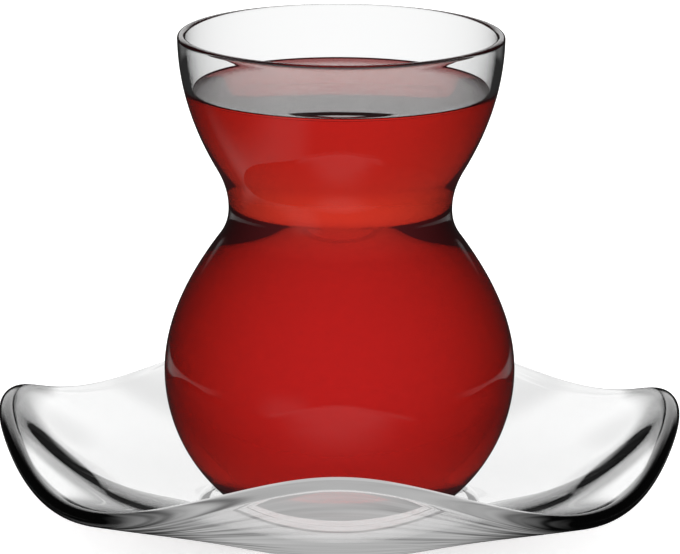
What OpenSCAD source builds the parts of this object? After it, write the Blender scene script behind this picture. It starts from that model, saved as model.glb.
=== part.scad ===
// Turkish tea glass, filled with black tea, on its wavy glass saucer.
// Millimetres, +Z up. The origin is on the table, under the middle of the saucer's foot.

/* [Glass] */
// Height of the glass from its foot to the top of its lip
glass_h = 82; // [70:0.5:110]
// Outer radius at the lip
lip_r = 28.15; // [24:0.05:36]
// Outer radius of the waist, the narrowest place
waist_r = 19.3; // [15:0.05:24]
// Height of the waist above the foot
waist_h = 51.5; // [42:0.5:62]
// Outer radius of the belly at its widest
belly_r = 30.35; // [25:0.05:38]
// Height of the widest place of the belly above the foot
belly_h = 23; // [17:0.5:30]
// Radius of the flat that the glass stands on
foot_r = 18.8; // [12:0.1:23]
// Rounding of the edge between that flat and the belly
foot_round = 0.8; // [0.3:0.1:1.5]
// Thickness of the wall, measured square to it
wall = 1.4; // [0.9:0.05:2.5]
// Thickness of the solid glass under the tea
base_t = 5; // [2.5:0.1:8]
// Height of the rounding where the inner floor turns into the wall
bowl_round = 4; // [2:0.1:7]

/* [Curves of the glass] */
// How far below the waist the tight curve runs out into the belly
shoulder_drop = 5.1; // [4:0.1:8]
// How much wider the glass is there than at the waist
shoulder_step = 1.65; // [1:0.05:3.5]
// How far above the waist the flare is steepest
flare_rise = 7.3; // [5:0.1:10]
// How much wider the glass is there than at the waist
flare_step = 2.15; // [1:0.05:3.5]

/* [Tea] */
// Distance from the top of the lip down to the level of the tea
headroom = 10; // [6:0.1:25]
// How far the edge of the tea climbs the wall
meniscus_h = 0.8; // [0.2:0.1:1.5]
// Width over which that climb dies out
meniscus_w = 0.9; // [0.4:0.1:2]

/* [Saucer] */
// Mean radius of the saucer, measured to the middle of its rim
saucer_r = 58.9; // [50:0.1:75]
// How far the plan swells out at the low corners and draws in at the high crests
plan_wave = 1.5; // [0:0.1:4]
// How far the crests and corners of the plan are flattened
plan_flat = 0.2; // [0:0.05:1]
// Mean height of the middle of the rim above the table
rim_h = 15.9; // [13:0.1:24]
// How far the rim climbs at a crest and falls at a corner
rim_wave = 4.0; // [0:0.1:6]
// How far the tops of those waves are flattened
rim_flat = 0.3; // [0:0.05:1]
// How much higher the two crests across the Y axis come to a peak
rim_peak = 1.6; // [0:0.1:2.5]
// Number of waves round the rim
waves = 4; // [3:1:6]
// Thickness of the saucer's floor
floor_t = 2.8; // [2:0.1:3.6]
// Thickness of the saucer at its rim
rim_t = 2.8; // [1.8:0.1:3.6]
// Clearance in radius between the foot of the glass and the edge of the flat floor
seat_gap = 2.7; // [0.5:0.1:4]
// How hollow the wall is between floor and rim, on average
sweep = 1.95; // [1.5:0.05:2.4]
// How much more hollow it is under a crest than under a corner
sweep_wave = 0.7; // [0:0.05:0.8]
// Width of the ring that the saucer stands on
ring_w = 3.4; // [2:0.1:5]
// How far that ring lifts the floor off the table
ring_h = 0.8; // [0.3:0.1:2]

/* [Hidden] */

glass_colour = [0.86, 0.9, 0.9, 0.45];
saucer_colour = [0.82, 0.86, 0.86, 0.6];
tea_colour = [0.72, 0.12, 0.1];

// Number of steps round a full turn of the saucer, and along its wall and a rounded edge
turn_steps = 80;
wall_steps = 19;
round_steps = 8;
// Facets of the glass and the tea where they are shown as a mesh
$fn = 180;
// Heights of the glass wall are about this far apart
rung = 1.2;

// Height of the floor that the glass stands on
seat_h = ring_h + floor_t;

// ---- Shared curves ----

// Cubic through [height, value, slope] a and b, its value at height h
function cubic(a, b, h) =
    let (span = b[0] - a[0], t = (h - a[0]) / span)
    a[1] * (1 + 2 * t) * pow(1 - t, 2) + b[1] * t * t * (3 - 2 * t)
    + span * t * (1 - t) * (a[2] * (1 - t) - b[2] * t);

// Points of the parabola that leaves a towards c and arrives at b
function bend(a, c, b) =
    [for (t = [0 : 1 / round_steps : 1]) a * pow(1 - t, 2) + c * (2 * t * (1 - t)) + b * t * t];

// The same points in the opposite order
function reversed(points) = [for (i = [len(points) - 1 : -1 : 0]) points[i]];

// Heights above low, up to high, about one rung apart
function rungs(low, high) =
    let (count = ceil((high - low) / rung))
    [for (i = [1 : count]) low + (high - low) * i / count];

// ---- Glass ----

lip_round = wall / 2;
lip_h = glass_h - lip_round;
tea_h = glass_h - headroom;

// Radius of the round under the belly, which passes through the edge of the foot
belly_round = (pow(belly_r - foot_r, 2) + belly_h * belly_h) / (2 * (belly_r - foot_r));

// Steepest slopes below and above the waist, against the mean slope of each stretch
shoulder_steep = 1.92;
flare_steep = 1.99;
// Slope of the wall at the lip, which is nearly upright
lip_slope = 0.02;

// Stations of the outer wall above the belly: height, radius and slope
belly_station = [belly_h, belly_r, 0];
shoulder_station = [
    waist_h - shoulder_drop,
    waist_r + shoulder_step,
    -shoulder_steep * (belly_r - waist_r) / (waist_h - belly_h)];
waist_station = [waist_h, waist_r, 0];
flare_station = [
    waist_h + flare_rise,
    waist_r + flare_step,
    flare_steep * (lip_r - waist_r) / (lip_h - waist_h)];
lip_station = [lip_h, lip_r, lip_slope];

// Outer radius of the glass at height h
function outer_r(h) =
    h < belly_h ? belly_r - belly_round + sqrt(max(0, pow(belly_round, 2) - pow(belly_h - h, 2))) :
    h < shoulder_station[0] ? cubic(belly_station, shoulder_station, h) :
    h < waist_h ? cubic(shoulder_station, waist_station, h) :
    h < flare_station[0] ? cubic(waist_station, flare_station, h) :
    cubic(flare_station, lip_station, h);

// Slope of the outer wall there, as change of radius with height
function outer_slope(h) =
    let (low = h - 0.05, high = min(h + 0.05, lip_h)) (outer_r(high) - outer_r(low)) / (high - low);

// Inner radius at height h, with the wall measured square to its slope
function inner_r(h) = outer_r(h) - wall * sqrt(1 + pow(outer_slope(h), 2));

// Where the rounded floor of the inside turns into the wall
bowl_top = base_t + bowl_round;
bowl_edge = [inner_r(bowl_top), bowl_top];
bowl_corner = [inner_r(bowl_top) - bowl_round * outer_slope(bowl_top), base_t];
bowl_floor = bowl_corner - [norm(bowl_edge - bowl_corner), 0];

// Inner outline from the middle of its floor to where the tea ends on the wall
tea_edge_h = tea_h + meniscus_h;
tea_side = concat(
    [[0, base_t]],
    bend(bowl_floor, bowl_corner, bowl_edge),
    [for (h = rungs(bowl_top, tea_edge_h)) [inner_r(h), h]]);

// Inner outline from there up to the lip
dry_side = [for (h = rungs(tea_edge_h, lip_h)) [inner_r(h), h]];

// Top of the lip, between the inner and the outer outline
lip_arc = [
    for (i = [1 : round_steps - 1]) let (a = 180 - i * 180 / round_steps)
        [lip_r - lip_round + lip_round * cos(a), lip_h + lip_round * sin(a)]];

// Outer outline from the middle of the foot up to the lip
outer_side = concat(
    [[0, 0]],
    bend([foot_r - foot_round, 0], [foot_r, 0], [outer_r(foot_round), foot_round]),
    [for (h = rungs(foot_round, lip_h)) [outer_r(h), h]]);

module tea_glass() {
    color(glass_colour)
        translate([0, 0, seat_h])
            rotate_extrude()
                polygon(concat(outer_side, reversed(concat(tea_side, dry_side, lip_arc))));
}

// ---- Tea ----

tea_edge_r = inner_r(tea_edge_h);

// Top of the tea from its edge to its middle, with the climb at the wall
tea_top = [
    for (share = [0.5 : 0.5 : 4.5])
        [tea_edge_r - share * meniscus_w, tea_h + meniscus_h * exp(-share)]];

module tea() {
    color(tea_colour)
        translate([0, 0, seat_h])
            rotate_extrude()
                polygon(concat(tea_side, tea_top, [[0, tea_h]]));
}

// ---- Saucer ----

flat_r = foot_r + seat_gap;
mid_h = seat_h - floor_t / 2;

// Middle of the rim, in plan and in height, at angle a
function rim_plan(a) = saucer_r - plan_wave * cos(waves * a) + plan_flat * cos(2 * waves * a);
function rim_level(a) =
    let (crest = (1 + cos(waves * a)) / 2, across = (1 - cos(2 * a)) / 2)
    rim_h + rim_wave * cos(waves * a) - rim_flat * cos(2 * waves * a)
    + rim_peak * pow(crest, 3) * across;
function hollow(a) = sweep + sweep_wave * cos(waves * a);

// Middle of the glass at share u of the way from the flat floor to the rim
function middle(a, u) = [
    flat_r + (rim_plan(a) - flat_r) * u,
    mid_h + (rim_level(a) - mid_h) * pow(u, hollow(a))];

// Unit vector along the wall there, outwards
function along(a, u) =
    let (v = [
        rim_plan(a) - flat_r,
        (rim_level(a) - mid_h) * hollow(a) * pow(u, hollow(a) - 1)])
    v / norm(v);

function half_t(u) = (floor_t + (rim_t - floor_t) * u) / 2;

// Point of the upper (side 1) or lower (side -1) face
function skin(a, u, side) =
    let (v = along(a, u)) middle(a, u) + side * half_t(u) * [-v[1], v[0]];

// Ring that the saucer stands on, from its recess to its outer flank
ring_outer = flat_r + 1.2;
ring_inner = ring_outer - ring_w;
ring_edge = ring_h / 2;
ring_section = [
    [ring_inner - ring_h, ring_h],
    [ring_inner - ring_edge / 2, ring_edge / 2],
    [ring_inner + ring_edge, 0],
    [ring_outer - ring_edge, 0],
    [ring_outer + ring_edge / 2, ring_edge / 2]];
// The lower face leaves the ring at this share of the way to the rim
lower_start = 0.07;

// Section of the saucer at angle a, from the recess round the rim to the flat floor
function section(a) = concat(
    ring_section,
    [for (i = [0 : wall_steps]) skin(a, lower_start + (1 - lower_start) * i / wall_steps, -1)],
    [for (i = [1 : round_steps - 1])
        let (t = -90 + i * 180 / round_steps, v = along(a, 1), n = [-v[1], v[0]])
        middle(a, 1) + half_t(1) * (cos(t) * v + sin(t) * n)],
    [for (i = [wall_steps : -1 : 0]) skin(a, i / wall_steps, 1)]);

module saucer() {
    sections = [
        for (j = [0 : turn_steps - 1]) let (a = 360 * j / turn_steps)
            [for (p = section(a)) [p[0] * cos(a), p[0] * sin(a), p[1]]]];
    row = len(sections[0]);
    points = [for (s = sections) each s];
    function at(j, k) = (j % turn_steps) * row + k;
    sides = [
        for (j = [0 : turn_steps - 1], k = [0 : row - 2])
            each [
                [at(j, k), at(j, k + 1), at(j + 1, k)],
                [at(j, k + 1), at(j + 1, k + 1), at(j + 1, k)]]];
    under = [[for (j = [0 : turn_steps - 1]) at(j, 0)]];
    upper = [[for (j = [turn_steps - 1 : -1 : 0]) at(j, row - 1)]];
    color(saucer_colour)
        polyhedron(points, concat(sides, under, upper), convexity = 6);
}

saucer();
tea_glass();
tea();
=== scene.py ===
"""Turkish tea glass on its wavy saucer: meshes, finishes, floor, light and camera.

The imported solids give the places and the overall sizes. The three pieces are turned and swept
again here on fine grids, because clear glass shows every facet, and each replaces its solid.
Lengths are in metres, +Z is up and the origin lies on the table under the saucer's foot.
"""

from __future__ import annotations

import logging
import math
from dataclasses import dataclass
from enum import Enum
from typing import Any, ClassVar, Sequence

import bpy
import numpy as np
from mathutils import Euler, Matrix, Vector

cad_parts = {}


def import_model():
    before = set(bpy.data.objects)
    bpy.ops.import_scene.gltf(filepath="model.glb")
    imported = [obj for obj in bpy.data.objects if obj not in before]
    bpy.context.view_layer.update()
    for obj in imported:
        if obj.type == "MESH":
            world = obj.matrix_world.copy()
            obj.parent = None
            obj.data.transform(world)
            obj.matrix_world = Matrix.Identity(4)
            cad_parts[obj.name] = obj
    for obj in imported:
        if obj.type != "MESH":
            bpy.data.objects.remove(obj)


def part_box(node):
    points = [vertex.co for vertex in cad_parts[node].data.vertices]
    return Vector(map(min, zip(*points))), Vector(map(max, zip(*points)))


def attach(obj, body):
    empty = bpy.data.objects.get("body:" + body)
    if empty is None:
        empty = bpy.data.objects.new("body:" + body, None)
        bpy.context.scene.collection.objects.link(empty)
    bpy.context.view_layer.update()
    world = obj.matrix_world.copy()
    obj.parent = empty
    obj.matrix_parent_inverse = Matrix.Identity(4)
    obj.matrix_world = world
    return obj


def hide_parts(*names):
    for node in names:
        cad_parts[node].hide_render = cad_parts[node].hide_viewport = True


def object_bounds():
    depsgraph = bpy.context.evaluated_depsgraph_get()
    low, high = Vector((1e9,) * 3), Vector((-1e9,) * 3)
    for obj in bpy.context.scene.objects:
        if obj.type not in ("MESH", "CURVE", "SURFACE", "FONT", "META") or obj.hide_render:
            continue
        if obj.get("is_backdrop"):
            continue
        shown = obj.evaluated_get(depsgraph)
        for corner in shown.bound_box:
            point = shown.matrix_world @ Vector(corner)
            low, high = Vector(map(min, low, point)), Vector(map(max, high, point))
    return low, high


LOG = logging.getLogger("tea_glass")
MM = 0.001
ROOT_BODY = "root"

BLACK = (0.0, 0.0, 0.0)
WHITE = (1.0, 1.0, 1.0)

Colour = tuple[float, float, float]
Span = tuple[float, float]
Point = tuple[float, float]
Outline = list[Point]


class Face(Enum):
    """Which face of a wall a point lies on, as the sign of its offset from the middle."""

    UPPER = 1.0
    LOWER = -1.0


class PaintedGlow(Enum):
    """Where a clear body gets a painted glow, an emission that stands in for light spread back."""

    NONE = "none"
    BODY = "body"
    SKIRT = "skirt"


class View(Enum):
    """How the colours are brought to the screen."""

    TRANSFORM = "Standard"
    LOOK = "None"


# ---------------------------------------------------------------------------------------------
# Shader graphs
# ---------------------------------------------------------------------------------------------


class Value:
    """A socket whose sums, products and comparisons add Math nodes to its graph."""

    def __init__(self, graph: "Graph", socket: bpy.types.NodeSocket) -> None:
        """Wrap a socket.

        Args:
            graph: The graph that the socket's node belongs to.
            socket: The output socket.
        """
        self.graph = graph
        self.socket = socket

    def math(self, operation: str, *others: Any) -> "Value":
        """Add a Math node on this value.

        Args:
            operation: The node's operation, such as "ADD".
            others: Its second and third inputs, as values or numbers.

        Returns:
            The node's result.
        """
        return self.graph.node("ShaderNodeMath", {"operation": operation}, [self, *others])

    def __add__(self, other: Any) -> "Value":
        """Return self + other."""
        return self.math("ADD", other)

    def __sub__(self, other: Any) -> "Value":
        """Return self - other."""
        return self.math("SUBTRACT", other)

    def __rsub__(self, other: Any) -> "Value":
        """Return other - self."""
        return self.graph.node("ShaderNodeMath", {"operation": "SUBTRACT"}, [other, self])

    def __mul__(self, other: Any) -> "Value":
        """Return self * other."""
        return self.math("MULTIPLY", other)

    def __truediv__(self, other: Any) -> "Value":
        """Return self / other."""
        return self.math("DIVIDE", other)

    def __pow__(self, other: Any) -> "Value":
        """Return self to the power of other."""
        return self.math("POWER", other)

    def __abs__(self) -> "Value":
        """Return the size of self without its sign."""
        return self.math("ABSOLUTE")

    def above(self, low: float, high: float) -> "Value":
        """Rise smoothly from 0 at low to 1 at high.

        Args:
            low: Where the rise starts.
            high: Where it ends.

        Returns:
            The share of the rise, from 0 to 1.
        """
        return self.graph.node(
            "ShaderNodeMapRange",
            {"interpolation_type": "SMOOTHSTEP"},
            {"Value": self, "From Min": low, "From Max": high},
        )

    __radd__ = __add__
    __rmul__ = __mul__


class Graph:
    """A node tree that is filled by expressions."""

    def __init__(self, tree: bpy.types.NodeTree) -> None:
        """Take a tree and empty it.

        Args:
            tree: The tree of a material or of the world.
        """
        self.tree = tree
        tree.nodes.clear()

    def node(
        self,
        kind: str,
        settings: dict[str, Any] | None = None,
        inputs: dict[str, Any] | Sequence[Any] = (),
        output: str | int = 0,
    ) -> Value:
        """Add a node, with its settings first and then its sockets.

        Args:
            kind: The node's type, such as "ShaderNodeTexNoise".
            settings: Its properties, which are set before its sockets.
            inputs: Values, numbers or colours of its sockets, by name or in order.
            output: The output socket that is wanted.

        Returns:
            That output.
        """
        made = self.tree.nodes.new(kind)
        for name, setting in (settings or {}).items():
            setattr(made, name, setting)
        pairs = inputs.items() if isinstance(inputs, dict) else enumerate(inputs)
        for name, given in pairs:
            if isinstance(given, Value):
                self.tree.links.new(given.socket, made.inputs[name])
            else:
                made.inputs[name].default_value = given
        return Value(self, made.outputs[output])

    def blend(self, share: Any, low: Any, high: Any) -> Value:
        """Mix two colours.

        Args:
            share: How much of the second there is.
            low: The first colour.
            high: The second colour.

        Returns:
            The mixed colour.
        """
        mix = self.tree.nodes.new("ShaderNodeMix")
        mix.data_type = "RGBA"
        for index, given in ((0, share), (6, low), (7, high)):
            if isinstance(given, Value):
                self.tree.links.new(given.socket, mix.inputs[index])
            else:
                mix.inputs[index].default_value = given if index == 0 else (*given, 1.0)
        return Value(self, mix.outputs[2])

    def parts(self, vector: Value) -> list[Value]:
        """Split a vector.

        Args:
            vector: The vector.

        Returns:
            Its X, Y and Z.
        """
        split = self.node("ShaderNodeSeparateXYZ", {}, [vector])
        return [Value(self, socket) for socket in split.socket.node.outputs]

    def mirrored(self, times: int = 1) -> Value:
        """Tell light that was mirrored on its way from light that came straight.

        Args:
            times: How often it was mirrored at least.

        Returns:
            1 where the light was mirrored that often, and 0 elsewhere.
        """
        return self.node("ShaderNodeLightPath", output="Glossy Depth").above(times - 1, times)

    def outside(self) -> Value:
        """Return 1 where a surface is met from its outside, and 0 from its inside."""
        return 1 - self.node("ShaderNodeNewGeometry", output="Backfacing")

    def upward(self) -> Value:
        """Return the upward part of the surface's normal."""
        return self.parts(self.node("ShaderNodeNewGeometry", output="Normal"))[2]

    def finish(self, kind: str, **shaders: Value) -> None:
        """Add the output node.

        Args:
            kind: "ShaderNodeOutputMaterial" or "ShaderNodeOutputWorld".
            shaders: The shader of each of its sockets, such as Surface.
        """
        end = self.tree.nodes.new(kind)
        for name, shader in shaders.items():
            self.tree.links.new(shader.socket, end.inputs[name])


# ---------------------------------------------------------------------------------------------
# Finishes
# ---------------------------------------------------------------------------------------------


@dataclass(frozen=True)
class Skirt:
    """The outside of the saucer's crests across the Y axis, and the rim at the tips between.

    Each span gives where a share starts to rise and where it is whole.

    Attributes:
        spread: Span of the skirts, in the share of the radius that lies along Y.
        inner: Radii over which they start.
        rim: Radii over which the rounded rim starts.
        flat: Span of the upward part of the normal over which the upper face starts.
        line: Span of it over which the painted highlight line on top of the rim starts.
        line_light: Painted light that the highlight line adds.
        even_light: Painted light between the streaks.
        streak_size: Spacing of the streaks across the rim.
        streak_turn: Streak lengths to a radian.
        streak_shift: How far the streaks shift the ends of the skirts.
        streak_light: How much the streaks change the painted light.
        shade: How much of what is behind a skirt is missing, as painted shade.
        least: Least share of it that is left.
        tip_spread: Span over which the painted dark tips end, in the share that lies along Y.
        tip_back: Places along Y over which they end.
        tip_rim: Radii over which their rim starts.
        tip_shade: How much of the light the painted shade takes away there.
    """

    spread: Span = (0.78, 0.97)
    inner: Span = (24 * MM, 30 * MM)
    rim: Span = (56.4 * MM, 57.2 * MM)
    flat: Span = (0.7, 0.98)
    line: Span = (0.8, 0.93)
    line_light: float = 0.9
    even_light: float = 0.8
    streak_size: float = 0.9 * MM
    streak_turn: float = 2.0
    streak_shift: float = 0.35
    streak_light: float = 0.5
    shade: float = 0.8
    least: float = 0.1
    tip_spread: Span = (0.75, 0.92)
    tip_back: Span = (2 * MM, 12 * MM)
    tip_rim: Span = (57.6 * MM, 58.6 * MM)
    tip_shade: float = 0.9

    def light(self, graph: Graph, place: Value) -> Value:
        """Find the skirts' painted light, in streaks along the rim.

        Args:
            graph: The graph to add to.
            place: The object coordinates.

        Returns:
            The painted light, which is 0 off the skirts.
        """
        x, y, _ = graph.parts(place)
        reach = (x * x + y * y) ** 0.5
        turn = x.math("ARCTAN2", abs(y))
        polar = graph.node(
            "ShaderNodeCombineXYZ", {}, [reach / self.streak_size, turn * self.streak_turn, 0.0]
        )
        streak = graph.node(
            "ShaderNodeTexNoise", {}, {"Vector": polar, "Scale": 1.0, "Detail": 2.0}
        )
        across = (abs(y) / reach + (streak - 0.5) * self.streak_shift).above(*self.spread)
        up = graph.upward()
        rim = reach.above(*self.rim)
        under = 1 - up.above(*self.flat) * (1 - rim)
        # Painted highlight line along the top of the rim, added to the streaks of painted light.
        line = up.above(*self.line) * rim
        light = (streak - 0.5) * self.streak_light + line * self.line_light + self.even_light
        return across * under * graph.outside() * reach.above(*self.inner) * light

    def passing(self, graph: Graph, place: Value, light: Value) -> Value:
        """Find how much light the skirts and the tips of the rim let through, under their painted
        shade.

        Args:
            graph: The graph to add to.
            place: The object coordinates.
            light: The skirts' painted light.

        Returns:
            The share, which is 1 off the skirts and the tips.
        """
        x, y, _ = graph.parts(place)
        reach = (x * x + y * y) ** 0.5
        # Painted shade: dark tips of the rim, on the side towards -Y only.
        tip = 1 - (abs(y) / reach).above(*self.tip_spread)
        rim = reach.above(*self.tip_rim) * tip * (1 - y.above(*self.tip_back))
        # Painted shade on the skirts, deepest where their painted light is brightest.
        skirt = (1 - light * self.shade).math("MAXIMUM", self.least)
        return skirt * (1 - rim * self.tip_shade)


@dataclass(frozen=True)
class ClearBody:
    """A clear, polished body that bends light and absorbs it along its way.

    Attributes:
        name: Name of the material.
        ior: Refractive index.
        passed: Share of red, green and blue that one unit of density lets through.
        density: Absorption per metre.
        edge: Power of the painted shade towards the outline.
        edge_slope: How much light painted shade takes where the surface is seen from its side.
        edge_colour: What the body's colour turns to towards its outline, as painted shade.
        mirror: Share of the reflection that is left where the surface is seen square.
        glow: Where it has a painted glow.
        painted_glow_colour: Colour of that painted glow.
        ripple: Depth of the slow unevenness of the surface, in metres.
        ripple_size: Spacing of that unevenness, in metres.
        haze: Roughness where the polish is dullest.
        low_relief: How much of the painted shade at the edge is missing where the surface looks
            down.
        low: Span of the upward part of the normal over which it stops looking down.
        least_seen: Least share of light that the painted shade leaves towards the outline.
        grain: How much finer the changes of the polish are than the unevenness.
        dull: Span of that grain over which the polish gets dull.
        dusty: Colour of the body where its grain is strongest.
    """

    name: str
    ior: float
    passed: Colour
    density: float
    edge: float
    edge_slope: float
    edge_colour: Colour
    mirror: float
    glow: PaintedGlow
    painted_glow_colour: Colour
    ripple: float
    ripple_size: float
    haze: float
    low_relief: float = 0.0
    low: Span = (-0.7, -0.2)
    least_seen: float = 0.1
    grain: float = 12.0
    dull: Span = (0.45, 0.75)
    dusty: Colour = (0.985, 0.99, 0.99)

    def material(self) -> bpy.types.Material:
        """Build the material.

        Returns:
            A material with one Principled surface and an absorbing inside.
        """
        made = bpy.data.materials.new(self.name)
        made.use_nodes = True
        graph = Graph(made.node_tree)
        place = graph.node("ShaderNodeTexCoord", output="Object")
        slow = graph.node(
            "ShaderNodeTexNoise",
            {},
            {"Vector": place, "Scale": 1 / self.ripple_size, "Detail": 1.0},
        )
        fine = graph.node(
            "ShaderNodeTexNoise",
            {},
            {"Vector": place, "Scale": self.grain / self.ripple_size, "Detail": 3.0},
        )
        bump = graph.node(
            "ShaderNodeBump", {}, {"Strength": 1.0, "Distance": self.ripple, "Height": slow}
        )
        # Painted shade: the colour darkens towards the outline, where the surface is seen from its
        # side.
        seen = passing = self.seen(graph)
        edged = graph.blend(seen, self.edge_colour, graph.blend(fine, WHITE, self.dusty))
        lit: Value | tuple[float, ...] = (*BLACK, 1.0)
        # Painted light on the saucer's skirts, a grey glow in streaks, and painted shade there and
        # at the rim's tips.
        if self.glow is PaintedGlow.SKIRT:
            skirt = Skirt()
            light = skirt.light(graph, place)
            passing = seen * skirt.passing(graph, place, light)
            lit = graph.blend(light, BLACK, self.painted_glow_colour)
        # Painted glow in the body, fading towards the outline.
        elif self.glow is PaintedGlow.BODY:
            lit = graph.blend(seen, BLACK, self.painted_glow_colour)
        surface = graph.node(
            "ShaderNodeBsdfPrincipled",
            {},
            {
                "Base Color": graph.blend(passing, BLACK, edged),
                "Roughness": fine.above(*self.dull) * self.haze,
                "IOR": self.ior,
                "Specular Tint": (self.mirror, self.mirror, self.mirror, 1.0),
                "Transmission Weight": 1.0,
                "Normal": bump,
                "Emission Color": lit,
                "Emission Strength": 1.0,
            },
        )
        inside = graph.node(
            "ShaderNodeVolumeAbsorption",
            {},
            {"Color": (*self.passed, 1.0), "Density": self.density},
        )
        graph.finish("ShaderNodeOutputMaterial", Surface=surface, Volume=inside)
        return made

    def seen(self, graph: Graph) -> Value:
        """Find how squarely the surface is seen, which sets the painted shade towards the outline.

        Args:
            graph: The graph to add to.

        Returns:
            The share of light that the painted shade leaves, which falls towards the outline.
        """
        facing = graph.node("ShaderNodeLayerWeight", {}, {"Blend": 0.5}, "Facing")
        slope: Value | float = self.edge_slope
        if self.low_relief:
            low = (1 - graph.upward().above(*self.low)) * graph.outside()
            slope = (1 - low * self.low_relief) * self.edge_slope
        return (1 - facing * slope).math("MAXIMUM", self.least_seen) ** self.edge


SAUCER_GLASS = ClearBody(
    name="saucer_glass",
    ior=1.5,
    passed=(0.33, 0.35, 0.35),
    density=22.0,
    # Painted shade towards the outline.
    edge=0.15,
    edge_slope=0.95,
    edge_colour=WHITE,
    mirror=1.0,
    # Painted grey glow on the skirts.
    glow=PaintedGlow.SKIRT,
    painted_glow_colour=(0.52, 0.52, 0.52),
    ripple=0.02 * MM,
    ripple_size=14 * MM,
    haze=0.02,
)
CLEAR_GLASS = ClearBody(
    name="clear_glass",
    ior=1.5,
    passed=(0.4, 0.5, 0.48),
    density=8.0,
    # Painted shade towards the outline.
    edge=0.17,
    edge_slope=0.95,
    edge_colour=WHITE,
    mirror=0.5,
    glow=PaintedGlow.NONE,
    painted_glow_colour=BLACK,
    ripple=0.004 * MM,
    ripple_size=12 * MM,
    haze=0.01,
)
TEA = ClearBody(
    name="tea",
    ior=1.333,
    passed=(0.905, 0.32, 0.1),
    density=140.0,
    # Painted shade towards the outline, turning the tea dark red.
    edge=1.0,
    edge_slope=3.2,
    edge_colour=(1.0, 0.1, 0.1),
    mirror=0.0,
    # Faint painted red glow in the tea.
    glow=PaintedGlow.BODY,
    painted_glow_colour=(0.05, 0.009, 0.011),
    ripple=0.002 * MM,
    ripple_size=10 * MM,
    haze=0.0,
    low_relief=0.7,
)


@dataclass(frozen=True)
class PaleTable:
    """An even, pale table top with a trace of mottling.

    Attributes:
        name: Name of the material.
        colour: Its colour.
        darker: Share of that colour that is left where the mottling is strongest.
        mottle: Mottles to a metre.
        roughness: Its roughness.
        glow: Light that lifts it towards the background.
        glow_seen: Share of that light that is seen straight on.
        seen_through_glass: How much of the lamps' light it returns to what shines through glass.
        seen_in_gloss: How bright it looks in reflections.
    """

    name: str = "pale_table"
    colour: Colour = (0.93, 0.93, 0.93)
    darker: float = 0.985
    mottle: float = 6.0
    roughness: float = 0.9
    glow: float = 0.87
    glow_seen: float = 0.64
    seen_through_glass: float = 0.15
    seen_in_gloss: float = 0.03

    def material(self) -> bpy.types.Material:
        """Build the material.

        Returns:
            A matt material.
        """
        made = bpy.data.materials.new(self.name)
        made.use_nodes = True
        graph = Graph(made.node_tree)
        mottle = graph.node("ShaderNodeTexNoise", {}, {"Scale": self.mottle, "Detail": 2.0})
        darker = tuple(self.darker * part for part in self.colour)
        mirrored = graph.mirrored()
        direct = graph.node("ShaderNodeLightPath", output="Is Camera Ray")
        dark = (self.seen_in_gloss,) * 3
        glow = graph.blend(direct, WHITE, (self.glow_seen,) * 3)
        pale = graph.blend(mottle, self.colour, darker)
        seen = graph.blend(direct, (self.seen_through_glass,) * 3, pale)
        surface = graph.node(
            "ShaderNodeBsdfPrincipled",
            {},
            {
                "Base Color": graph.blend(mirrored, seen, dark),
                "Roughness": self.roughness,
                "Specular IOR Level": 0.0,
                "Emission Color": graph.blend(mirrored, glow, dark),
                "Emission Strength": self.glow,
            },
        )
        graph.finish("ShaderNodeOutputMaterial", Surface=surface)
        return made


# ---------------------------------------------------------------------------------------------
# Meshes
# ---------------------------------------------------------------------------------------------


def closed_skin(name: str, rows: np.ndarray) -> bpy.types.Object:
    """Close a grid of points into a solid, with its first and last rows drawn to a point.

    Args:
        name: Name of the object.
        rows: Points by row and angle, from the underside's middle to the top's middle.

    Returns:
        The object, with smooth faces that look outwards.
    """
    turns = rows.shape[1]
    bottom = rows[0].mean(axis=0)
    top = rows[-1].mean(axis=0)
    ring = rows[1:-1].reshape(-1, 3)
    points = np.vstack([ring, bottom, top])
    count = rows.shape[0] - 2
    here = np.arange(turns)
    nxt = (here + 1) % turns
    faces: list[tuple[int, ...]] = []
    for row in range(count - 1):
        low = row * turns
        high = low + turns
        faces += list(zip(low + here, low + nxt, high + nxt, high + here))
    last = (count - 1) * turns
    faces += [(len(ring), int(b), int(a)) for a, b in zip(here, nxt)]
    faces += [(len(ring) + 1, last + int(a), last + int(b)) for a, b in zip(here, nxt)]
    mesh = bpy.data.meshes.new(name)
    mesh.from_pydata(points.tolist(), [], [tuple(int(i) for i in face) for face in faces])
    mesh.polygons.foreach_set("use_smooth", [True] * len(mesh.polygons))
    mesh.update()
    piece = bpy.data.objects.new(name, mesh)
    bpy.context.collection.objects.link(piece)
    return piece


def turned(name: str, outline: Outline, turns: int) -> bpy.types.Object:
    """Turn an outline round the Z axis.

    Args:
        name: Name of the object.
        outline: Radius and height of each point, from the axis below to the axis above.
        turns: Number of steps round.

    Returns:
        The turned object.
    """
    angle = np.linspace(0.0, 2 * math.pi, turns, endpoint=False)
    radius = np.array([point[0] for point in outline])[:, None]
    height = np.array([point[1] for point in outline])[:, None]
    rows = np.stack(
        [radius * np.cos(angle), radius * np.sin(angle), height + 0 * angle], axis=-1
    )
    return closed_skin(name, rows)


def arc(centre: Point, radius: float, start: float, end: float, steps: int) -> Outline:
    """Points on an arc, without its ends.

    Args:
        centre: Radius and height of the arc's centre.
        radius: Its radius.
        start: Angle of its first end, in degrees from outwards, upwards positive.
        end: Angle of its last end.
        steps: Number of steps.

    Returns:
        The points between the ends.
    """
    angles = [math.radians(start + (end - start) * step / steps) for step in range(1, steps)]
    return [(centre[0] + radius * math.cos(a), centre[1] + radius * math.sin(a)) for a in angles]


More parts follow.
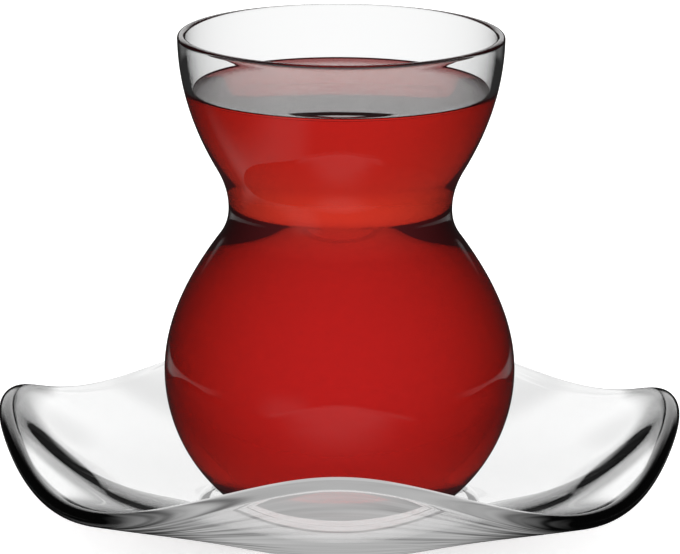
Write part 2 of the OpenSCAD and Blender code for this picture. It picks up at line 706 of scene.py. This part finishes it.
def bend(start: Point, corner: Point, end: Point, steps: int) -> Outline:
    """Points of the parabola that leaves start towards corner and arrives at end.

    Args:
        start: First point.
        corner: The corner that it rounds.
        end: Last point.
        steps: Number of steps.

    Returns:
        The points, with both ends.
    """
    shares = [step / steps for step in range(steps + 1)]
    return [
        tuple(
            a * (1 - t) ** 2 + c * 2 * t * (1 - t) + b * t * t
            for a, c, b in zip(start, corner, end)
        )
        for t in shares
    ]


class Piece:
    """A piece of the set, which is built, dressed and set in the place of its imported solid."""

    node: ClassVar[str]
    slot: ClassVar[str]
    finish: ClassVar[ClearBody]

    def build(self) -> bpy.types.Object:
        """Return the piece's mesh, standing at its place."""
        raise NotImplementedError

    def place(self) -> None:
        """Build the piece, dress it and let it stand for its solid."""
        piece = self.build()
        piece.data.materials.append(self.finish.material())
        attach(piece, ROOT_BODY)
        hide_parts(self.node)
        LOG.info("%s: %d faces, stands for %s", piece.name, len(piece.data.polygons), self.node)


@dataclass(frozen=True)
class Station:
    """A place on the wall's outline: its height, its radius and its slope."""

    height: float
    radius: float
    slope: float

    def towards(self, other: "Station", height: float) -> float:
        """Follow the cubic from this station to another.

        Args:
            other: The station above.
            height: A height between the two.

        Returns:
            The radius at that height.
        """
        span = other.height - self.height
        t = (height - self.height) / span
        ends = self.radius * (1 + 2 * t) * (1 - t) ** 2 + other.radius * t * t * (3 - 2 * t)
        return ends + span * t * (1 - t) * (self.slope * (1 - t) - other.slope * t)


@dataclass
class TeaGlass(Piece):
    """The waisted glass, turned from its outline.

    Attributes:
        low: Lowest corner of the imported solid.
        high: Its highest corner.
        lip_r: Outer radius at the lip.
        waist_r: Outer radius of the waist.
        waist_h: Height of the waist above the foot.
        belly_h: Height of the widest place of the belly.
        foot_r: Radius of the foot.
        foot_round: Rounding of its edge.
        foot_hollow: How far the middle of the foot is drawn in.
        hollow_flat: Share of the foot's radius that this hollow keeps its depth for.
        hollow_edge: Roundings between the edge of the foot and the hollow.
        stand: Height of the foot over the saucer, so that no two faces coincide.
        wall: Thickness of the wall.
        base_t: Thickness of the base.
        bowl_round: Height of the rounding where the inner floor turns into the wall.
        shoulder_drop: How far below the waist its curve runs out into the belly.
        shoulder_step: How much wider the glass is there.
        shoulder_steep: Its slope there, against the mean slope down to the belly.
        flare_rise: How far above the waist the flare is steepest.
        flare_step: How much wider the glass is there.
        flare_steep: Its slope there, against the mean slope up to the lip.
        lip_slope: Slope at the lip.
        slope_step: Height over which a slope is measured, to either side.
        rung: Spacing of the outline's heights.
        turns: Steps round.
        round_steps: Steps of a rounding.
    """

    node: ClassVar[str] = "tea_glass"
    slot: ClassVar[str] = "clear_glass"
    finish: ClassVar[ClearBody] = CLEAR_GLASS

    low: Vector
    high: Vector
    lip_r: float = 28.15 * MM
    waist_r: float = 19.3 * MM
    waist_h: float = 51.5 * MM
    belly_h: float = 23.0 * MM
    foot_r: float = 18.8 * MM
    foot_round: float = 0.8 * MM
    foot_hollow: float = 0.5 * MM
    hollow_flat: float = 0.6
    hollow_edge: float = 3.0
    stand: float = 0.03 * MM
    wall: float = 1.4 * MM
    base_t: float = 5.0 * MM
    bowl_round: float = 4.0 * MM
    shoulder_drop: float = 5.1 * MM
    shoulder_step: float = 1.65 * MM
    shoulder_steep: float = 1.92
    flare_rise: float = 7.3 * MM
    flare_step: float = 2.15 * MM
    flare_steep: float = 1.99
    lip_slope: float = 0.02
    slope_step: float = 0.05 * MM
    rung: float = 0.5 * MM
    turns: int = 256
    round_steps: int = 12

    def __post_init__(self) -> None:
        """Work out the stations of the outer wall."""
        self.height = self.high.z - self.low.z
        self.belly_r = self.high.x
        self.lip_h = self.height - self.wall / 2
        drop = self.belly_r - self.foot_r
        self.belly_round = (drop**2 + self.belly_h**2) / (2 * drop)
        shoulder_slope = -self.shoulder_steep * (self.belly_r - self.waist_r)
        flare_slope = self.flare_steep * (self.lip_r - self.waist_r)
        self.stations = [
            Station(self.belly_h, self.belly_r, 0.0),
            Station(
                self.waist_h - self.shoulder_drop,
                self.waist_r + self.shoulder_step,
                shoulder_slope / (self.waist_h - self.belly_h),
            ),
            Station(self.waist_h, self.waist_r, 0.0),
            Station(
                self.waist_h + self.flare_rise,
                self.waist_r + self.flare_step,
                flare_slope / (self.lip_h - self.waist_h),
            ),
            Station(self.lip_h, self.lip_r, self.lip_slope),
        ]

    def outer_radius(self, height: float) -> float:
        """Outer radius of the wall.

        Args:
            height: Height above the foot.

        Returns:
            The radius there.
        """
        if height < self.belly_h:
            rise = math.sqrt(self.belly_round**2 - (self.belly_h - height) ** 2)
            return self.belly_r - self.belly_round + rise
        for below, above in zip(self.stations, self.stations[1:]):
            if height <= above.height:
                return below.towards(above, height)
        return self.lip_r

    def slope(self, height: float) -> float:
        """Change of the outer radius with height.

        Args:
            height: Height above the foot.

        Returns:
            The slope there.
        """
        low = height - self.slope_step
        high = min(height + self.slope_step, self.lip_h)
        return (self.outer_radius(high) - self.outer_radius(low)) / (high - low)

    def inner_radius(self, height: float) -> float:
        """Inner radius of the wall, which is measured square to its slope.

        Args:
            height: Height above the foot.

        Returns:
            The radius there.
        """
        return self.outer_radius(height) - self.wall * math.hypot(1.0, self.slope(height))

    def rungs(self, low: float, high: float) -> list[float]:
        """Heights above low, up to high, about one rung apart.

        Args:
            low: Lower height, which is left out.
            high: Upper height.

        Returns:
            The heights.
        """
        count = math.ceil((high - low) / self.rung)
        return [low + (high - low) * step / count for step in range(1, count + 1)]

    def inside(self, top: float) -> Outline:
        """Outline of the inside, from the middle of its floor up the wall.

        Args:
            top: Height above the foot at which it ends.

        Returns:
            The outline, in heights above the foot.
        """
        edge_h = self.base_t + self.bowl_round
        edge = (self.inner_radius(edge_h), edge_h)
        corner = (edge[0] - self.bowl_round * self.slope(edge_h), self.base_t)
        reach = math.hypot(edge[0] - corner[0], edge[1] - corner[1])
        floor = (corner[0] - reach, self.base_t)
        wall = [(self.inner_radius(h), h) for h in self.rungs(edge_h, top)]
        return [(0.0, self.base_t), *bend(floor, corner, edge, self.round_steps), *wall]

    def outside(self) -> Outline:
        """Outline of the outside, from the middle of the foot up to the lip.

        Returns:
            The outline, in heights above the foot.
        """
        hollow = bend(
            (0.0, self.foot_hollow),
            (self.foot_r * self.hollow_flat, self.foot_hollow),
            (self.foot_r - self.hollow_edge * self.foot_round, self.stand),
            self.round_steps,
        )
        foot = bend(
            (self.foot_r - self.foot_round, self.stand),
            (self.foot_r, self.stand),
            (self.outer_radius(self.foot_round), self.foot_round),
            self.round_steps,
        )
        wall = [(self.outer_radius(h), h) for h in self.rungs(self.foot_round, self.lip_h)]
        return [*hollow, *foot, *wall]

    def build(self) -> bpy.types.Object:
        """Turn the glass.

        Returns:
            The glass, standing at its place.
        """
        middle = (self.lip_r - self.wall / 2, self.lip_h)
        round_lip = arc(middle, self.wall / 2, 0.0, 180.0, 2 * self.round_steps)
        inside = self.inside(self.lip_h)
        outline = [*self.outside(), *round_lip, *reversed(inside)]
        return turned("tea_glass_clear", [(r, h + self.low.z) for r, h in outline], self.turns)


@dataclass
class Tea(Piece):
    """The tea, which reaches just into the glass wall so that no air gap shows.

    Attributes:
        glass: The glass that it fills.
        edge: Height of its edge on the wall above the glass's foot.
        sink: How far it reaches into the wall.
        climb: How far its edge climbs the wall.
        climb_width: Width over which that climb dies out to a third.
        climb_widths: Number of those widths that the curve of the climb is drawn for.
        steps: Steps of that curve.
    """

    node: ClassVar[str] = "tea"
    slot: ClassVar[str] = "tea"
    finish: ClassVar[ClearBody] = TEA

    glass: TeaGlass
    edge: float
    sink: float = 0.12 * MM
    climb: float = 0.8 * MM
    climb_width: float = 0.9 * MM
    climb_widths: int = 6
    steps: int = 40

    def build(self) -> bpy.types.Object:
        """Turn the tea.

        Returns:
            The tea, standing at its place.
        """
        level = self.edge - self.climb
        side = self.grown(self.glass.inside(self.edge))
        edge_r = side[-1][0]
        reach = self.climb_widths * self.climb_width
        top = [
            (edge_r - reach * share, level + self.climb * math.exp(-self.climb_widths * share))
            for share in (step / self.steps for step in range(1, self.steps + 1))
        ]
        outline = [*side, *top, (0.0, level)]
        return turned(
            "tea_body", [(r, h + self.glass.low.z) for r, h in outline], self.glass.turns
        )

    def grown(self, side: Outline) -> Outline:
        """Move an outline outwards, square to itself.

        Args:
            side: The inside of the glass.

        Returns:
            The outline, by the sink further out.
        """
        points = np.array(side)
        along = np.gradient(points, axis=0)
        along /= np.hypot(along[:, 0], along[:, 1])[:, None]
        square = np.stack([along[:, 1], -along[:, 0]], axis=-1)
        moved = points + self.sink * square
        moved[0, 0] = 0.0
        moved[-1] = [points[-1, 0] + self.sink, points[-1, 1]]
        return [tuple(point) for point in moved.tolist()]


@dataclass
class Saucer(Piece):
    """The saucer, swept round from its section, which changes along its wavy rim.

    Attributes:
        floor_top: Height of the floor that the glass stands on.
        mean_r: Mean radius, to the middle of the rim.
        plan_wave: How far the plan swells out at the corners and draws in at the crests.
        plan_flat: How far the corners and crests of the plan are flattened.
        rim_h: Mean height of the middle of the rim.
        rim_wave: How far the rim climbs at a crest and falls at a corner.
        rim_flat: How far the tops of those waves are flattened.
        rim_peak: How much higher the crests across the Y axis come to a peak.
        waves: Waves round the rim.
        floor_t: Thickness of the floor.
        rim_t: Thickness at the rim.
        flat_r: Radius of the flat floor.
        sweep: How hollow the wall is, on average.
        sweep_wave: How much more hollow it is under a crest.
        ring_out: How far the ring that it stands on reaches past the flat floor.
        ring_w: Width of that ring.
        lower_start: Share of the way to the rim at which the lower face leaves the ring.
        swell: How far the lower face swells and thins under the lobes across the X axis.
        swell_r: Radius of the middle of that swell.
        swell_y: Place along Y of its middle.
        swell_w: Distance along Y from there to where it is thickest.
        swell_reach: Distance along the radius over which it dies out.
        turns: Steps round.
        wall_steps: Steps from the floor to the rim.
        round_steps: Steps of the rim's rounding.
    """

    node: ClassVar[str] = "saucer"
    slot: ClassVar[str] = "saucer_glass"
    finish: ClassVar[ClearBody] = SAUCER_GLASS

    floor_top: float
    mean_r: float = 58.9 * MM
    plan_wave: float = 1.5 * MM
    plan_flat: float = 0.2 * MM
    rim_h: float = 15.9 * MM
    rim_wave: float = 4.0 * MM
    rim_flat: float = 0.3 * MM
    rim_peak: float = 1.6 * MM
    waves: int = 4
    floor_t: float = 2.8 * MM
    rim_t: float = 2.8 * MM
    flat_r: float = 21.5 * MM
    sweep: float = 1.95
    sweep_wave: float = 0.7
    ring_out: float = 1.2 * MM
    ring_w: float = 3.4 * MM
    lower_start: float = 0.07
    swell: float = 0.5 * MM
    swell_r: float = 48.0 * MM
    swell_y: float = -1.0 * MM
    swell_w: float = 9.0 * MM
    swell_reach: float = 4.5 * MM
    turns: int = 360
    wall_steps: int = 60
    round_steps: int = 16

    def __post_init__(self) -> None:
        """Work out the ring that the saucer stands on and the angles of the sweep."""
        self.ring_h = self.floor_top - self.floor_t
        self.middle_h = self.floor_top - self.floor_t / 2
        self.angle = np.linspace(0.0, 2 * math.pi, self.turns, endpoint=False)
        wave = np.cos(self.waves * self.angle)
        half_wave = np.cos(2 * self.waves * self.angle)
        self.plan = self.mean_r - self.plan_wave * wave + self.plan_flat * half_wave
        peak = ((1 + wave) / 2) ** 3 * (1 - np.cos(2 * self.angle)) / 2
        self.crest = (
            self.rim_h + self.rim_wave * wave - self.rim_flat * half_wave + self.rim_peak * peak
        )
        self.hollow = self.sweep + self.sweep_wave * wave

    def along(self, share: float) -> tuple[np.ndarray, np.ndarray]:
        """Unit vector along the wall, outwards.

        Args:
            share: Share of the way from the flat floor to the rim.

        Returns:
            Its parts outwards and upwards, at every angle.
        """
        out = self.plan - self.flat_r
        up = (self.crest - self.middle_h) * self.hollow * share ** (self.hollow - 1)
        size = np.hypot(out, up)
        return out / size, up / size

    def middle(self, share: float) -> tuple[np.ndarray, np.ndarray]:
        """Middle of the wall.

        Args:
            share: Share of the way from the flat floor to the rim.

        Returns:
            Its radius and height, at every angle.
        """
        radius = self.flat_r + (self.plan - self.flat_r) * share
        height = self.middle_h + (self.crest - self.middle_h) * share**self.hollow
        return radius, height

    def skin(self, share: float, face: Face) -> tuple[np.ndarray, np.ndarray]:
        """A place on the upper or the lower face.

        Args:
            share: Share of the way from the flat floor to the rim.
            face: Which face.

        Returns:
            Its radius and height, at every angle.
        """
        half = face.value * (self.floor_t + (self.rim_t - self.floor_t) * share) / 2
        (radius, height), (out, up) = self.middle(share), self.along(share)
        if face is Face.LOWER:
            across = (radius * np.sin(self.angle) - self.swell_y) / self.swell_w
            aside = (radius - self.swell_r) / self.swell_reach
            # The half in the exponent makes the swell's thickest place as thick as self.swell.
            half = half - self.swell * across * np.exp(0.5 - (across**2 + aside**2) / 2)
        return radius - half * up, height + half * out

    def rim(self) -> list[tuple[np.ndarray, np.ndarray]]:
        """The rounded edge, from the lower to the upper face.

        Returns:
            Radius and height of its lines, at every angle.
        """
        (radius, height), (out, up) = self.middle(1.0), self.along(1.0)
        half = self.rim_t / 2
        steps = range(1, self.round_steps)
        turn = [math.radians(-90 + 180 * step / self.round_steps) for step in steps]
        return [
            (
                radius + half * (math.cos(a) * out - math.sin(a) * up),
                height + half * (math.cos(a) * up + math.sin(a) * out),
            )
            for a in turn
        ]

    def foot(self) -> Outline:
        """The recess and the ring under the floor.

        Returns:
            Radius and height of its points, from the middle outwards.
        """
        outer = self.flat_r + self.ring_out
        inner = outer - self.ring_w
        edge = self.ring_h / 2
        steps = self.round_steps // 2
        recess = (inner - self.ring_h, self.ring_h)
        inside = bend(recess, (inner, self.ring_h), (inner, edge), steps)
        down = bend((inner, edge), (inner, 0.0), (inner + edge, 0.0), steps)
        flank = bend((outer - edge, 0.0), (outer, 0.0), (outer + edge / 2, edge / 2), steps)
        return [(0.0, self.ring_h), *inside, *down[1:], *flank]

    def build(self) -> bpy.types.Object:
        """Sweep the saucer.

        Returns:
            The saucer, standing at its place.
        """
        even = np.ones_like(self.angle)
        shares = [step / self.wall_steps for step in range(self.wall_steps + 1)]
        start = self.lower_start
        lower = [self.skin(start + (1 - start) * share, Face.LOWER) for share in shares]
        upper = [self.skin(share, Face.UPPER) for share in reversed(shares)]
        lines = [(radius * even, height * even) for radius, height in self.foot()]
        lines += [*lower, *self.rim(), *upper, (0 * even, self.floor_top * even)]
        rows = np.stack(
            [
                np.stack(
                    [radius * np.cos(self.angle), radius * np.sin(self.angle), height], axis=-1
                )
                for radius, height in lines
            ]
        )
        return closed_skin("saucer_clear", rows)


# ---------------------------------------------------------------------------------------------
# Studio
# ---------------------------------------------------------------------------------------------


@dataclass
class Studio:
    """Floor, light and camera.

    The light's spans are in the parts of a direction, or in radians round from behind.

    Attributes:
        middle: Middle of the object, which the camera looks at.
        distance: Distance of the camera from it.
        elevation: Angle of the camera above the horizon, in degrees.
        roll: Turn of the picture, in degrees.
        lens: Focal length, in millimetres.
        sensor: Width of the sensor, in millimetres.
        clip: Nearest and farthest distance that the camera sees.
        floor_size: Side of the floor.
        floor_drop: How far the floor lies below the saucer, so that no two faces coincide.
        dome_light: Light of the white dome.
        room_light: What gloss sees of the dark room.
        box_light: Light of the soft box low on the left.
        box_side: Place of its middle along X.
        box_width: Distance from there over which it dies out.
        box_even: Share of that distance over which it is even.
        box_top: Span over which it ends upwards.
        box_back: Span over which it ends backwards.
        window_light: Light of the window behind.
        window_sides: Angles over which the window ends and the side light starts.
        window_low: Span over which the window starts upwards.
        window_high: Span over which it ends upwards.
        side_light: Light beside the window, in a narrow band under the horizon.
        side_end: Angles over which it ends.
        side_low: Span over which it starts upwards.
        side_high: Span over which it ends upwards.
        bounces: Most bounces of light, through glass too.
        mirrorings: Most times that light is mirrored.
        see_through: Most times that it passes straight through.
    """

    middle: Vector
    distance: float = 1.063
    elevation: float = 13.34
    roll: float = 0.3
    lens: float = 325.6
    sensor: float = 36.0
    clip: Span = (0.01, 50.0)
    floor_size: float = 12.0
    floor_drop: float = 0.05 * MM
    dome_light: float = 1.0
    room_light: float = 0.02
    box_light: float = 0.5
    box_side: float = -0.55
    box_width: float = 0.3
    box_even: float = 0.2
    box_top: Span = (-0.25, 0.0)
    box_back: Span = (0.3, 0.6)
    window_light: float = 1.3
    window_sides: Span = (0.3, 0.6)
    window_low: Span = (0.05, 0.15)
    window_high: Span = (0.55, 0.8)
    side_light: float = 0.35
    side_end: Span = (1.4, 1.8)
    side_low: Span = (-0.235, -0.215)
    side_high: Span = (-0.18, -0.16)
    bounces: int = 20
    mirrorings: int = 18
    see_through: int = 8

    def camera(self) -> None:
        """Place the camera and make it the scene's."""
        data = bpy.data.cameras.new("camera")
        data.lens = self.lens
        data.sensor_width = self.sensor
        data.clip_start, data.clip_end = self.clip
        lift = math.radians(self.elevation)
        away = Vector((0.0, -math.cos(lift), math.sin(lift)))
        camera = bpy.data.objects.new("camera", data)
        camera.location = self.middle + self.distance * away
        level = Euler((math.pi / 2 - lift, 0.0, 0.0)).to_matrix()
        rolled = Euler((0.0, 0.0, math.radians(self.roll))).to_matrix()
        camera.rotation_euler = (level @ rolled).to_euler()
        bpy.context.collection.objects.link(camera)
        bpy.context.scene.camera = camera

    def floor(self) -> None:
        """Lay the floor."""
        half = self.floor_size / 2
        corners = [(-half, -half), (half, -half), (half, half), (-half, half)]
        mesh = bpy.data.meshes.new("floor")
        mesh.from_pydata([(x, y, -self.floor_drop) for x, y in corners], [], [(0, 1, 2, 3)])
        floor = bpy.data.objects.new("floor", mesh)
        bpy.context.collection.objects.link(floor)
        mesh.materials.append(PaleTable().material())
        floor.visible_glossy = False
        floor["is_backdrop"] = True

    def light(self) -> None:
        """Light the studio with a white dome, which gloss sees as a dark room with soft boxes."""
        world = bpy.data.worlds.new("studio")
        world.use_nodes = True
        bpy.context.scene.world = world
        graph = Graph(world.node_tree)
        direction = graph.node("ShaderNodeTexCoord", output="Generated")
        x, y, z = graph.parts(direction)
        around = abs(x.math("ARCTAN2", y))
        gloss = self.box(x, y, z) + self.window(graph, around, z) + self.sides(around, z)
        seen = graph.blend(graph.mirrored(), (self.dome_light,) * 3, gloss + self.room_light)
        dome = graph.node("ShaderNodeBackground", {}, {"Color": seen})
        graph.finish("ShaderNodeOutputWorld", Surface=dome)

    def box(self, x: Value, y: Value, z: Value) -> Value:
        """Light the soft box low on the left.

        Args:
            x: Part of the direction along X.
            y: Its part along Y.
            z: Its part upwards.

        Returns:
            The light.
        """
        strip = 1 - abs(x - self.box_side).above(self.box_even * self.box_width, self.box_width)
        return strip * (1 - z.above(*self.box_top)) * (1 - y.above(*self.box_back)) * self.box_light

    def window(self, graph: Graph, around: Value, z: Value) -> Value:
        """Light the window behind, which only light that was mirrored once sees.

        Args:
            graph: The graph to add to.
            around: Angle of the direction round from behind.
            z: Part of the direction upwards.

        Returns:
            The light.
        """
        pane = (1 - around.above(*self.window_sides)) * z.above(*self.window_low)
        once = 1 - graph.mirrored(2)
        return pane * (1 - z.above(*self.window_high)) * once * self.window_light

    def sides(self, around: Value, z: Value) -> Value:
        """Light the band beside the window.

        Args:
            around: Angle of the direction round from behind.
            z: Part of the direction upwards.

        Returns:
            The light.
        """
        band = around.above(*self.window_sides) * (1 - around.above(*self.side_end))
        return band * z.above(*self.side_low) * (1 - z.above(*self.side_high)) * self.side_light

    def exposure(self) -> None:
        """Set how light paths and colours are worked out."""
        scene = bpy.context.scene
        scene.view_settings.view_transform = View.TRANSFORM.value
        scene.view_settings.look = View.LOOK.value
        cycles = scene.cycles
        cycles.max_bounces = self.bounces
        cycles.transmission_bounces = self.bounces
        cycles.glossy_bounces = self.mirrorings
        cycles.transparent_max_bounces = self.see_through
        cycles.use_denoising = True
        cycles.caustics_refractive = True
        cycles.caustics_reflective = True

    def build(self) -> None:
        """Build the whole studio."""
        self.camera()
        self.floor()
        self.light()
        self.exposure()


def main() -> None:
    """Build the object and its studio from the sizes of the imported solids."""
    logging.basicConfig(level=logging.INFO, format="%(name)s: %(message)s")
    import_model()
    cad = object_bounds()
    low, high = (Vector(corner) for corner in cad)
    glass_low, glass_high = (Vector(corner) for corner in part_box("tea_glass"))
    tea_high = Vector(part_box("tea")[1])
    glass = TeaGlass(low=glass_low, high=glass_high)
    Saucer(floor_top=glass_low.z).place()
    glass.place()
    Tea(glass=glass, edge=tea_high.z - glass_low.z).place()
    Studio(middle=(low + high) / 2).build()


if __name__ == "__main__":
    main()
